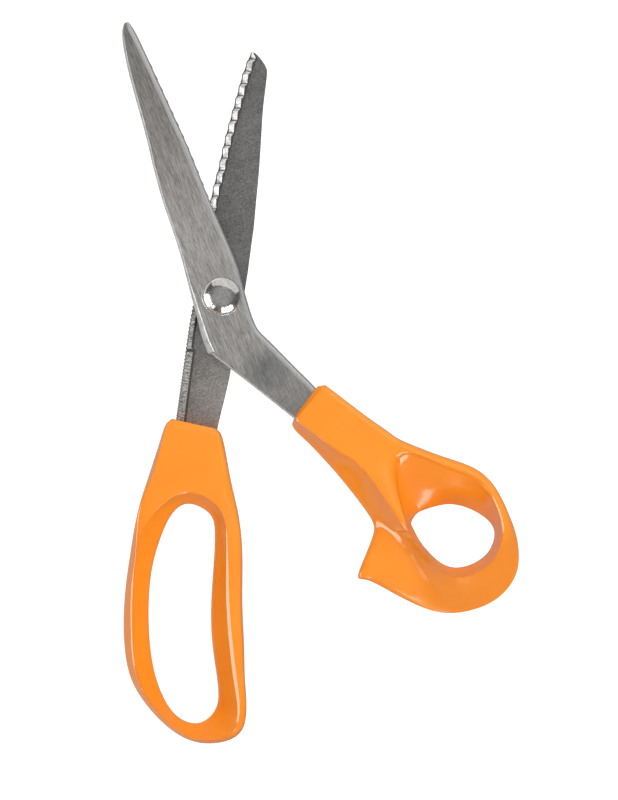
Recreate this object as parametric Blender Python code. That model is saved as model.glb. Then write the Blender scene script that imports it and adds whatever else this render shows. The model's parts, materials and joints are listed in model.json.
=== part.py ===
"""Pinking shears with moulded handles, modelled piece by piece.

The shears lie flat and half open. +Z is up, +Y runs from the pivot to the blade tips, +X is to the
thumb side. The origin is on the pivot axis, on the flat end face of the pivot nut, which is level
with the undersides of both handles. Lengths below are in millimetres until a mesh is made.
"""

import math

import bmesh
import bpy
from mathutils import Vector

MM = 0.001
GAP = 0.3                 # clearance between pieces that touch on the real shears
MID = 6.4                 # height of the plane between the two blades above the resting plane

# Blades: pressed steel with a flange that carries the pinking teeth.
SHEET = 1.8               # thickness of the steel
HALF_SPACE = 1.3          # from the mid-plane to the inner face of each blade
FLANGE = 2.1              # width of the toothed edge
BEND = 1.9                # outer radius of the bend between blade and flange
BEND_STEPS = 5
HEEL_BEVEL = 2.0          # width of the ground bevel along the front blade's back, at the heel
REAR_BEVEL = 0.5
BEVEL_SLOPE = 0.5         # fall of the bevel for each millimetre of its width
TOOTH_PITCH = 4.21
TOOTH_DEPTH = 1.7
TOOTH_START = 24.4        # distance of the first tooth from the pivot
TOOTH_LONG = 0.7          # share of a tooth that its long facet takes
TOOTH_PLAY = 0.12         # clearance between meshing teeth, measured along the pivot axis
TEETH = 14

# Pivot stack.
PIN_R = 3.0
BUSH_R = 4.0              # shank of each bush, which lines the hole in its blade
FLANGE_R = 5.2
BUSH_FLANGE_PLAY = 0.25   # between a bush's flange and the thrust washer
BUSH_WALL_PLAY = 0.08
BUSH_INSET = 0.1          # how far a bush ends below the outer face of its blade
THRUST_THICK = 0.3
HEAD_R = 6.0
HEAD_PLAY = 0.2           # between the pin's head and the front blade
HEAD_RIM = 0.25           # upright edge of the head
HEAD_SLOPE = 46           # slope of the dome at that edge, in degrees
HEAD_STEPS = 8
NUT_R = 5.6
NUT_PLAY = 1.1            # between the nut and the rear blade, where the spring washer sits
SPRING_THICK = 0.3
PIN_END = 1.3             # height of the pin's lower end, inside the nut
CHAMFER = 0.45
SEGMENTS = 40

# Handles.
STOP_TUCK = 0.17          # share of the finger loop's width cut back below, where the spur stops on it
THUMB_BARE = 11           # stations of each tang that lie outside its handle
FINGER_BARE = 7


# ---------------------------------------------------------------- helpers

def material(name, colour, roughness, metallic):
    """A plain finish for one kind of piece."""
    mat = bpy.data.materials.new(name)
    mat.use_nodes = True
    shader = mat.node_tree.nodes["Principled BSDF"]
    shader.inputs["Base Color"].default_value = (*colour, 1.0)
    shader.inputs["Roughness"].default_value = roughness
    shader.inputs["Metallic"].default_value = metallic
    return mat


def make_object(name, verts, faces, mat, hinge=None):
    """One closed mesh from points in millimetres, with its origin at the pivot if it has a hinge."""
    mesh = bpy.data.meshes.new(name)
    mesh.from_pydata([Vector(v) * MM for v in verts], [], faces)
    work = bmesh.new()
    work.from_mesh(mesh)
    bmesh.ops.recalc_face_normals(work, faces=work.faces)
    work.to_mesh(mesh)
    work.free()
    mesh.shade_smooth()
    mesh.set_sharp_from_angle(angle=math.radians(32))
    mesh.materials.append(mat)
    obj = bpy.data.objects.new(name, mesh)
    bpy.context.scene.collection.objects.link(obj)
    if hinge:
        obj.parent = hinge
    return obj


def cut(obj, cutter):
    """Takes the cutter's volume out of the object."""
    cutter.hide_render = True
    cutter.display_type = "WIRE"
    tool = obj.modifiers.new("cut", "BOOLEAN")
    tool.operation = "DIFFERENCE"
    tool.solver = "EXACT"
    tool.object = cutter


def loft(rings):
    """Joins equal closed rings of points, one after another, into a closed skin."""
    count = len(rings[0])
    verts = [p for ring in rings for p in ring]
    faces = []
    for r in range(len(rings) - 1):
        for k in range(count):
            a = r * count + k
            b = r * count + (k + 1) % count
            faces.append((a, b, b + count, a + count))
    last = (len(rings) - 1) * count
    faces.append(tuple(range(count)))
    faces.append(tuple(last + k for k in reversed(range(count))))
    return verts, faces


def turned(profile):
    """A solid of revolution about the pivot axis from (radius, height) pairs, closed round its ring."""
    verts = []
    rows = []
    for radius, height in profile:
        steps = SEGMENTS if radius > 0 else 1
        rows.append([len(verts) + k % steps for k in range(SEGMENTS)])
        for k in range(steps):
            turn = 2 * math.pi * k / SEGMENTS
            verts.append((radius * math.cos(turn), radius * math.sin(turn), height))
    faces = []
    for low, high in zip(rows, rows[1:] + rows[:1]):
        for k in range(SEGMENTS):
            n = (k + 1) % SEGMENTS
            corners = list(dict.fromkeys((low[k], low[n], high[n], high[k])))
            if len(corners) > 2:
                faces.append(tuple(corners))
    return verts, faces


def mix(a, b, t):
    """The point a share t of the way from a to b."""
    return tuple(p + (q - p) * t for p, q in zip(a, b))


# ---------------------------------------------------------------- blades

def zigzag(radius):
    """Height of the tooth line at a distance from the pivot: flat, then one long and one short facet."""
    run = radius - TOOTH_START
    if run <= 0 or run >= TOOTH_PITCH * TEETH:
        return 0.0
    phase = (run / TOOTH_PITCH + 0.5 + TOOTH_LONG / 2) % 1.0
    if phase < TOOTH_LONG:
        return (phase / TOOTH_LONG - 0.5) * TOOTH_DEPTH
    return (0.5 - (phase - TOOTH_LONG) / (1 - TOOTH_LONG)) * TOOTH_DEPTH


def on_line(points, radius):
    """Where a line of points, running inwards from the tip, crosses a circle about the pivot."""
    for a, b in zip(points, points[1:]):
        ra = math.hypot(*a)
        rb = math.hypot(*b)
        if (ra - radius) * (rb - radius) <= 0 and ra != rb:
            low, high = 0.0, 1.0
            for _ in range(40):
                t = (low + high) / 2
                if (math.hypot(*mix(a, b, t)) - radius) * (ra - radius) > 0:
                    low = t
                else:
                    high = t
            return mix(a, b, (low + high) / 2)
    raise ValueError("the line does not reach that radius")


def across(back, edge, t, swing):
    """The point a share t of the way across a blade: along a circle about the pivot, or straight."""
    if not swing:
        return mix(back, edge, t)
    start = math.atan2(back[1], back[0])
    turn = start + (math.atan2(edge[1], edge[0]) - start) * t
    radius = math.hypot(*edge)
    return radius * math.cos(turn), radius * math.sin(turn)


def blade_section(back, edge, side, bevel, flange_z, grow=0.0, swing=False):
    """One cross-section of a blade from its back to its toothed edge.

    side is +1 for the front blade, above the mid-plane, and -1 for the rear one. grow offsets the
    section outwards, for a pocket that the blade's tang fits. swing bends the section round the
    pivot, so that each tooth is an arc about it and the teeth mesh at every opening.
    """
    width = math.dist(back, edge)
    inner = HALF_SPACE - grow
    outer = HALF_SPACE + SHEET + grow
    bend = min(BEND, 0.45 * width) + grow
    wall = min(FLANGE, 0.55 * width)
    shape = [(-grow, inner), (-grow, outer - BEVEL_SLOPE * bevel - 0.02), (bevel - grow, outer)]
    for k in range(BEND_STEPS + 1):
        turn = math.pi / 2 * k / BEND_STEPS
        along = width + grow - bend + bend * math.sin(turn)
        shape.append((along, outer - bend + bend * math.cos(turn)))
    shape.append((width + grow, flange_z - grow))
    shape.append((width - wall - grow, flange_z - grow))
    shape.append((width - wall - grow, inner))
    return [(*across(back, edge, t / width, swing), MID + side * z) for t, z in shape]


def tooth_radii(tip):
    """Distances from the pivot of a blade's toothed sections: each valley and crest, and plain steel."""
    radii = [TOOTH_START, tip - 1.2, tip - 0.35, tip - 0.02]
    for k in range(TEETH):
        start = TOOTH_START + TOOTH_PITCH * (k + 0.5 - TOOTH_LONG / 2)
        radii += [start, start + TOOTH_PITCH * TOOTH_LONG]
    return sorted({round(r, 4) for r in radii if r < tip}, reverse=True)


def blade(name, backs, edges, side, bevel, tang, mat, hinge=None):
    """A blade from tip to tang: toothed stations on circles about the pivot, then hand-set ones.

    bevel is the ground bevel's width near the tip and where the tang's stations start. A station
    may have its own.
    """
    rings = []
    tip = math.hypot(*edges[0])
    for r in tooth_radii(tip):
        flange_z = side * zigzag(r) + TOOTH_PLAY / 2
        width = bevel[1] + (bevel[0] - bevel[1]) * (r - TOOTH_START) / (tip - TOOTH_START)
        ground = width * min(1.0, (tip - r) / 9 + 0.15)
        rings.append(blade_section(on_line(backs, r), on_line(edges, r), side, ground, flange_z, swing=True))
    for back, edge, *ground in tang:
        rings.append(blade_section(back, edge, side, ground[0] if ground else bevel[1], TOOTH_PLAY / 2))
    return make_object(name, *loft(rings), mat, hinge)


def pocket(name, tang, side, skip, hinge=None):
    """The cutter for a handle's tang pocket: the tang itself, grown by the gap on every side."""
    stations = tang[skip:]
    rings = [blade_section(back, edge, side, 0.0, TOOTH_PLAY / 2, GAP) for back, edge, *_ in stations]
    (b0, e0, *_), (b1, e1, *_) = stations[-2:]
    step = math.dist(mix(b0, e0, 0.5), mix(b1, e1, 0.5))
    t = 1 + GAP / step
    rings.append(blade_section(mix(b0, b1, t), mix(e0, e1, t), side, 0.0, TOOTH_PLAY / 2, GAP))
    return make_object(name, *loft(rings), None, hinge)


# ---------------------------------------------------------------- handles

FIT_ROUNDS = 16
FIT_STEP = 0.9


def fit_cage(targets, faces):
    """Moves a cage of quads until its Catmull-Clark limit surface passes through the target points."""
    near = [set() for _ in targets]
    far = [[] for _ in targets]
    for face in faces:
        for k, v in enumerate(face):
            near[v].update((face[k - 1], face[(k + 1) % 4]))
            far[v].append(face[(k + 2) % 4])
    goal = [Vector(t) for t in targets]
    cage = [v.copy() for v in goal]
    for _ in range(FIT_ROUNDS):
        limit = []
        for k, v in enumerate(cage):
            n = len(near[k])
            edges = sum((cage[j] for j in near[k]), Vector())
            corners = sum((cage[j] for j in far[k]), Vector())
            limit.append((n * n * v + 4 * edges + corners) / (n * (n + 5)))
        cage = [v + (g - m) * FIT_STEP for v, g, m in zip(cage, goal, limit)]
    return cage


def loop_section(inner, outer, heights):
    """Ten points round one section of a loop, from (share of the way out, height) pairs."""
    return [(*mix(inner, outer, t), MID + z) for t, z in heights]


def handle(name, loop, neck, mat, hinge=None):
    """A looped handle: a ring of sections round the finger hole, and a neck on its first three.

    A section's ten points run from the hole's wall over the top to the outer wall and back along
    the bottom. Section 1 faces the neck, so its outer points aren't used. A neck row's sixteen
    points run from the left wall over the top to the right wall and back along the bottom.
    """
    verts = []
    faces = []
    ring = []
    for section in loop:
        ring.append(list(range(len(verts), len(verts) + 10)))
        verts.extend(section)
    for s, a in enumerate(ring):
        b = ring[(s + 1) % len(ring)]
        steps = (8, 9, 0, 1) if s in (0, 1) else range(10)
        faces += [(a[k], a[(k + 1) % 10], b[(k + 1) % 10], b[k]) for k in steps]
    left, top, right = ring[:3]
    rows = [[left[5], left[4], left[3], left[2], top[2], right[2], right[3], right[4],
             right[5], right[6], right[7], right[8], top[8], left[8], left[7], left[6]]]
    for row in neck:
        rows.append(list(range(len(verts), len(verts) + 16)))
        verts.extend(row)
    for a, b in zip(rows, rows[1:]):
        faces += [(a[k], a[(k + 1) % 16], b[(k + 1) % 16], b[k]) for k in range(16)]
    end = rows[-1]
    middle = []
    for k in range(1, 8):
        middle.append(len(verts))
        verts.append(mix(verts[end[k]], verts[end[16 - k]], 0.5))
    faces.append((end[0], end[1], middle[0], end[15]))
    faces.append((end[8], end[9], middle[-1], end[7]))
    for k in range(1, 7):
        faces.append((end[k], end[k + 1], middle[k], middle[k - 1]))
        faces.append((end[16 - k], middle[k - 1], middle[k], end[15 - k]))
    used = sorted({v for face in faces for v in face})
    place = {v: k for k, v in enumerate(used)}
    faces = [tuple(place[v] for v in face) for face in faces]
    cage = fit_cage([verts[v] for v in used], faces)
    obj = make_object(name, cage, faces, mat, hinge)
    smooth = obj.modifiers.new("smooth", "SUBSURF")
    smooth.levels = 1
    smooth.render_levels = 1
    return obj


def neck_row(left, right, top, base, wall, ridge=0.16, side=(0.02, 0.62)):
    """Sixteen points round the neck between two wall points: a flat top with rounded edges."""
    half = [(0.0, wall), (side[0], side[1] * top), (ridge * 0.55, 0.93 * top), (ridge, top),
            (0.5, top), (1 - ridge, top), (1 - ridge * 0.45, 0.94 * top), (0.985, 0.62 * top), (1.0, wall)]
    back = [(0.985, 0.62 * base), (1 - ridge * 0.45, 0.94 * base), (1 - ridge, base), (0.5, base),
            (ridge, base), (ridge * 0.45, 0.94 * base), (0.015, 0.62 * base)]
    return [(*mix(left, right, t), MID + z) for t, z in half + back]


def even_section(crest, top, tuck):
    """A section that is highest a share crest of the way out, above and below the mid-plane alike.

    tuck draws the lower outer edge in by a share of the width, where the stop spur closes on it.
    """
    rise = 1 - crest
    slope, edge = crest + 0.58 * rise, crest + 0.92 * rise
    upper = [(0.24 * crest, 0.74 * top), (crest, top), (slope, 0.86 * top), (edge, 0.5 * top)]
    lower = [(edge - tuck, -0.5 * top), (slope - tuck / 2, -0.86 * top), (crest, -top),
             (0.24 * crest, -0.74 * top)]
    return [(0.0, 0.0)] + upper + [(1.0, 0.0)] + lower


def finger_handle(mat):
    """The long loop for four fingers, on the rear blade."""
    tucked = {4: STOP_TUCK, 5: STOP_TUCK, 6: STOP_TUCK / 2}
    sections = [
        ((-16.1, -72.0), (-26.3, -66.0), 0.42, 6.1), ((-11.0, -69.3), (-11.0, -60.0), 0.50, 6.1),
        ((-4.5, -72.3), (4.0, -66.0), 0.46, 6.1), ((-2.4, -78.5), (6.2, -77.6), 0.52, 6.1),
        ((-2.8, -90.0), (6.7, -90.0), 0.55, 6.2), ((-3.6, -103.0), (6.6, -103.0), 0.62, 6.2),
        ((-3.2, -116.2), (7.2, -117.0), 0.68, 6.2), ((-1.5, -128.5), (7.7, -128.5), 0.72, 6.2),
        ((-1.8, -137.3), (7.9, -141.2), 0.72, 6.2), ((-6.0, -142.0), (2.6, -147.9), 0.62, 6.2),
        ((-10.5, -142.4), (-8.5, -148.7), 0.60, 6.1), ((-15.5, -139.8), (-19.2, -142.7), 0.58, 6.0),
        ((-20.2, -132.5), (-27.8, -132.5), 0.60, 6.0), ((-23.3, -122.0), (-31.8, -122.0), 0.60, 6.0),
        ((-24.5, -109.0), (-32.8, -109.0), 0.58, 6.0), ((-24.1, -96.0), (-32.0, -96.0), 0.56, 6.0),
        ((-22.3, -86.0), (-30.5, -85.5), 0.55, 6.0), ((-19.4, -77.7), (-28.9, -76.0), 0.50, 6.1),
    ]
    loop = [loop_section(a, b, even_section(c, h, tucked.get(k, 0.0)))
            for k, (a, b, c, h) in enumerate(sections)]
    rows = [((-23.8, -58.0), (2.4, -58.6)), ((-21.2, -50.0), (1.0, -51.0)),
            ((-19.6, -44.6), (0.0, -46.9)), ((-18.6, -42.4), (-0.9, -45.2)), ((-16.6, -40.5), (-2.0, -43.8))]
    heights = (6.0, 5.8, 5.6, 5.4, 4.7)
    neck = [neck_row(a, b, h, -h, 0.0) for (a, b), h in zip(rows, heights)]
    return handle("finger_handle", loop, neck, mat)


def thumb_handle(mat, hinge):
    """The short tilted loop for the thumb, on the front blade, with the stop spur behind it."""
    sections = [
        # hole wall, outer wall, (share out, height) of: edge, crest, slope, outer edge; wall heights
        ((63.3, -75.2), (49.2, -73.4), (0.10, 4.6), (0.36, 6.9), (0.66, 1.6), (0.90, -1.2), 0.5, -3.6),
        ((65.2, -72.2), (56.5, -58.0), (0.16, 1.0), (0.62, 5.6), (0.8, 6.0), (0.9, 6.0), -1.6, 0.0),
        ((70.6, -69.8), (64.6, -50.4), (0.14, 0.2), (0.62, 5.0), (0.84, 6.0), (0.97, 3.4), -2.4, 0.0),
        ((76.1, -69.2), (75.3, -54.0), (0.14, 0.0), (0.66, 4.8), (0.86, 5.8), (0.97, 3.2), -2.6, 0.0),
        ((81.6, -70.4), (84.0, -57.3), (0.14, 0.2), (0.66, 4.8), (0.86, 5.6), (0.97, 3.0), -2.4, -0.2),
        ((86.6, -72.9), (91.0, -63.6), (0.14, 0.8), (0.62, 4.8), (0.84, 5.4), (0.97, 2.6), -2.0, -0.6),
        ((90.1, -76.2), (95.6, -72.4), (0.12, 2.0), (0.52, 5.4), (0.82, 4.2), (0.97, 1.4), -1.4, -1.2),
        ((91.1, -79.8), (98.3, -80.6), (0.10, 3.0), (0.34, 5.8), (0.74, 2.8), (0.96, -0.4), -0.8, -2.2),
        ((90.1, -83.6), (99.3, -87.6), (0.08, 3.8), (0.24, 6.2), (0.68, 2.2), (0.95, -1.4), -0.4, -3.0),
        ((87.7, -86.9), (97.8, -94.4), (0.07, 4.2), (0.19, 6.4), (0.62, 2.0), (0.94, -1.8), 0.0, -3.4),
        ((83.2, -89.7), (91.2, -101.8), (0.06, 4.4), (0.17, 6.5), (0.58, 2.0), (0.94, -2.0), 0.2, -3.6),
        ((77.7, -90.7), (80.4, -105.8), (0.06, 4.6), (0.16, 6.6), (0.56, 1.8), (0.94, -2.0), 0.3, -3.7),
        ((72.8, -88.9), (69.2, -104.9), (0.06, 4.8), (0.15, 6.7), (0.50, 1.2), (0.94, -1.8), 0.4, -3.7),
        ((68.9, -85.3), (56.5, -99.2), (0.06, 5.0), (0.14, 6.8), (0.42, 0.4), (0.92, -1.0), 0.5, -3.6),
        ((65.8, -81.2), (45.8, -93.0), (0.06, 5.0), (0.14, 6.9), (0.40, 0.2), (0.93, -1.0), 0.5, -3.4),
        ((63.9, -77.8), (50.2, -80.6), (0.08, 4.8), (0.24, 6.9), (0.60, 0.8), (0.92, -1.2), 0.5, -3.6),
    ]
    base = 6.2
    loop = []
    for inner, outer, edge, crest, slope, rim, hole_z, wall_z in sections:
        below = [(0.95, -5.2), (0.72, -base), (0.30, -base), (0.06, -5.2)]
        heights = [(0.0, hole_z - 1.6), edge, crest, slope, rim, (1.0, wall_z)] + below
        loop.append(loop_section(inner, outer, heights))
    rows = [((41.4, -62.7), (56.0, -45.6)), ((35.7, -56.1), (49.6, -41.1)), ((29.3, -49.4), (42.4, -35.7)),
            ((24.7, -45.0), (36.4, -31.1)), ((23.3, -42.6), (34.0, -29.6)), ((24.3, -39.4), (31.4, -30.1))]
    tops = (6.5, 6.4, 6.2, 6.0, 5.8, 4.6)
    ridges = (0.34, 0.24, 0.18, 0.15, 0.14, 0.13)
    neck = [neck_row(a, b, h, -base * (0.98 if k < 5 else 0.8), -1.5, r, (r * 0.3, 0.4))
            for k, ((a, b), h, r) in enumerate(zip(rows, tops, ridges))]
    return handle("thumb_handle", loop, neck, mat, hinge)


# ---------------------------------------------------------------- the shears

FRONT_BACK = [(-32.3, 90.9), (-33.2, 88.6), (-33.2, 84.7), (-31.0, 74.3), (-25.2, 53.0), (-22.6, 42.0),
              (-19.6, 31.3), (-16.0, 20.7), (-12.8, 11.0)]
FRONT_EDGE = [(-31.1, 91.0), (-30.0, 89.7), (-27.3, 84.8), (-17.5, 63.4), (-10.9, 48.7), (-4.9, 33.7),
              (-1.4, 25.7), (2.4, 16.9)]
FRONT_TANG = [
    # back, toothed side, width of the ground bevel
    ((-14.8, 16.9), (0.6, 21.2), 0.6), ((-13.4, 12.4), (3.4, 14.6), 0.6),
    ((-12.0, 7.0), (5.6, 8.8), 0.7), ((-10.4, 0.8), (7.4, 2.0), 0.9),
    ((-8.6, -6.0), (9.3, -4.6), 1.3), ((-7.0, -12.3), (10.8, -8.8), 1.7),
    ((-5.7, -16.4), (11.9, -11.0), HEEL_BEVEL), ((-4.5, -19.4), (12.9, -12.3), HEEL_BEVEL),
    ((-3.6, -19.6), (13.3, -12.7), 0.0), ((0.6, -22.6), (15.6, -14.9), 0.0),
    ((6.7, -27.2), (19.2, -18.5), 0.0), ((14.5, -33.3), (24.2, -23.6), 0.0),
    ((23.3, -40.3), (30.4, -29.8), 0.0), ((31.3, -46.6), (37.4, -37.6), 0.0),
    ((38.5, -52.4), (43.6, -44.6), 0.0),
]
REAR_BACK = [(10.7, 81.4), (12.4, 79.8), (15.0, 74.7), (13.7, 63.3), (13.0, 52.7), (12.3, 42.0),
             (11.3, 31.3), (10.3, 20.7), (8.9, 11.0)]
REAR_EDGE = [(9.7, 81.3), (7.0, 74.1), (4.0, 63.4), (1.1, 52.7), (-1.3, 42.0), (-3.4, 33.7), (-6.8, 14.6)]
REAR_TANG = [
    # back, toothed side
    ((10.0, 19.0), (-6.0, 19.6)), ((9.2, 13.0), (-7.1, 13.4)), ((8.4, 7.0), (-8.2, 7.0)),
    ((7.2, 0.0), (-9.4, -0.5)), ((5.4, -10.0), (-11.2, -10.6)), ((3.6, -20.0), (-12.6, -20.6)),
    ((2.2, -28.0), (-13.8, -29.0)), ((0.6, -35.0), (-14.8, -36.2)), ((-1.0, -41.5), (-15.6, -42.5)),
    ((-2.8, -50.0), (-15.8, -50.6)), ((-4.6, -58.0), (-15.8, -58.6)),
]


def clear_scene():
    for obj in list(bpy.data.objects):
        bpy.data.objects.remove(obj)


def main():
    clear_scene()
    steel = material("brushed_steel", (0.42, 0.41, 0.39), 0.32, 1.0)
    dark_steel = material("ground_steel", (0.26, 0.25, 0.24), 0.42, 1.0)
    polished = material("polished_steel", (0.62, 0.60, 0.57), 0.12, 1.0)
    plastic = material("orange_plastic", (0.94, 0.30, 0.04), 0.22, 0.0)
    acetal = material("white_acetal", (0.85, 0.84, 0.80), 0.45, 0.0)
    spring = material("spring_steel", (0.35, 0.34, 0.33), 0.30, 1.0)

    hinge = bpy.data.objects.new("front_half", None)
    bpy.context.scene.collection.objects.link(hinge)

    front = blade("front_blade", FRONT_BACK, FRONT_EDGE, 1, (0.7, 0.6), FRONT_TANG, steel, hinge)
    rear = blade("rear_blade", REAR_BACK, REAR_EDGE, -1, (REAR_BEVEL, REAR_BEVEL), REAR_TANG, dark_steel)
    thumb = thumb_handle(plastic, hinge)
    finger = finger_handle(plastic)

    cut(thumb, pocket("thumb_pocket", FRONT_TANG, 1, THUMB_BARE, hinge))
    cut(finger, pocket("finger_pocket", REAR_TANG, -1, FINGER_BARE))

    hole_r = BUSH_R + GAP
    drill = make_object("pivot_drill", *turned([(0, 0), (hole_r, 0), (hole_r, 2 * MID), (0, 2 * MID)]), None)
    cut(front, drill)
    cut(rear, drill)
    pivot_stack(polished, acetal, spring, hinge)


def dome(edge):
    """The head's spherical cap, from its edge at that height to the middle."""
    slope = math.radians(HEAD_SLOPE)
    ball = HEAD_R / math.sin(slope)
    turns = [slope * (1 - k / HEAD_STEPS) for k in range(HEAD_STEPS + 1)]
    return [(ball * math.sin(turn), edge + ball * (math.cos(turn) - math.cos(slope))) for turn in turns]


def pivot_stack(polished, acetal, spring, hinge):
    """The domed pin, its two flanged bushes, the washers and the cap nut, all round the Z axis."""
    face = HALF_SPACE + SHEET
    bore = PIN_R + GAP
    running = PIN_R + BUSH_WALL_PLAY
    half = THRUST_THICK / 2
    near, far = half + BUSH_FLANGE_PLAY, HALF_SPACE - GAP
    end = face - BUSH_INSET
    nut_top = MID - face - NUT_PLAY
    head = MID + face + HEAD_PLAY

    pin = [(0.0, PIN_END), (PIN_R - CHAMFER, PIN_END), (PIN_R, PIN_END + CHAMFER),
           (PIN_R, head), (HEAD_R, head)]
    make_object("pivot_pin", *turned(pin + dome(head + HEAD_RIM)), polished)

    front_bush = [(running, MID + near), (FLANGE_R, MID + near), (FLANGE_R, MID + far),
                  (BUSH_R, MID + far), (BUSH_R, MID + end), (running, MID + end)]
    make_object("front_bush", *turned(front_bush), acetal, hinge)
    rear_bush = [(bore, MID - end), (BUSH_R, MID - end), (BUSH_R, MID - far),
                 (FLANGE_R, MID - far), (FLANGE_R, MID - near), (bore, MID - near)]
    make_object("rear_bush", *turned(rear_bush), acetal)
    rim = FLANGE_R - 0.2
    washer = [(bore, MID - half), (rim, MID - half), (rim, MID + half), (bore, MID + half)]
    make_object("thrust_washer", *turned(washer), spring)

    make_object("spring_washer", *turned(cone(bore, NUT_R - 0.2, nut_top + 0.2)), spring)
    nut = [(0.0, 0.0), (NUT_R - CHAMFER, 0.0), (NUT_R, CHAMFER), (NUT_R, nut_top), (bore, nut_top),
           (bore, PIN_END - GAP), (0.0, PIN_END - GAP)]
    make_object("pivot_nut", *turned(nut), polished)


def cone(inner, outer, low):
    """The profile of a dished washer that rests on its outer edge, raised by its own thickness."""
    high = low + SPRING_THICK
    return [(inner, high), (outer, low), (outer, high), (inner, high + SPRING_THICK)]


main()
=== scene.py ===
"""The looks of the pinking shears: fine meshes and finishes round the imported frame.

Lengths in this script's shape sections are millimetres, measured from the pivot axis in X and Y and
from the plane between the blades in Z, and become metres when a mesh is made.
"""

import json
import math

import bmesh
import bpy
import numpy as np
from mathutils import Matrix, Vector


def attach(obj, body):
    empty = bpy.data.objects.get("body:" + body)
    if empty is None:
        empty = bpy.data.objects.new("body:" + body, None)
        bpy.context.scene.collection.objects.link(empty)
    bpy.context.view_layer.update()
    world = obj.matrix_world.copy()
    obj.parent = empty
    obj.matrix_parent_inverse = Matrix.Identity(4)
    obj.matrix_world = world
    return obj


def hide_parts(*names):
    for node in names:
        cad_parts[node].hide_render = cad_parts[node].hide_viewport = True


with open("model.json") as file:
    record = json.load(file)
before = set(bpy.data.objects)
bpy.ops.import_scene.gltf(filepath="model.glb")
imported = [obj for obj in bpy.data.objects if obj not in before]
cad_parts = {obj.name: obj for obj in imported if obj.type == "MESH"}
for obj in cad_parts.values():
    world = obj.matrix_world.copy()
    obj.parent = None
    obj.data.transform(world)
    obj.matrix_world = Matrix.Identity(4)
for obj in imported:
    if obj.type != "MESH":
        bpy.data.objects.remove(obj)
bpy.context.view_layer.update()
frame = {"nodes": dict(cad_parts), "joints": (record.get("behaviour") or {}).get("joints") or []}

MM = 0.001
AXIS_Z = frame["joints"][0]["pos_m"][2]          # the mid-plane's height, in metres
FRONT, REAR = "front_half", "rear_half"


# ---------------------------------------------------------------- node helpers

MIX_A, MIX_B, MIX_RESULT = 6, 7, 2      # the places of a Mix node's colour sockets


def set_stops(ramp, stops):
    """Gives a colour ramp its (place, colour) stops."""
    elements = ramp.color_ramp.elements
    while len(elements) < len(stops):
        elements.new(0.5)
    for element, (place, colour) in zip(elements, stops):
        element.position = place
        element.color = (*colour, 1.0)


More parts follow.
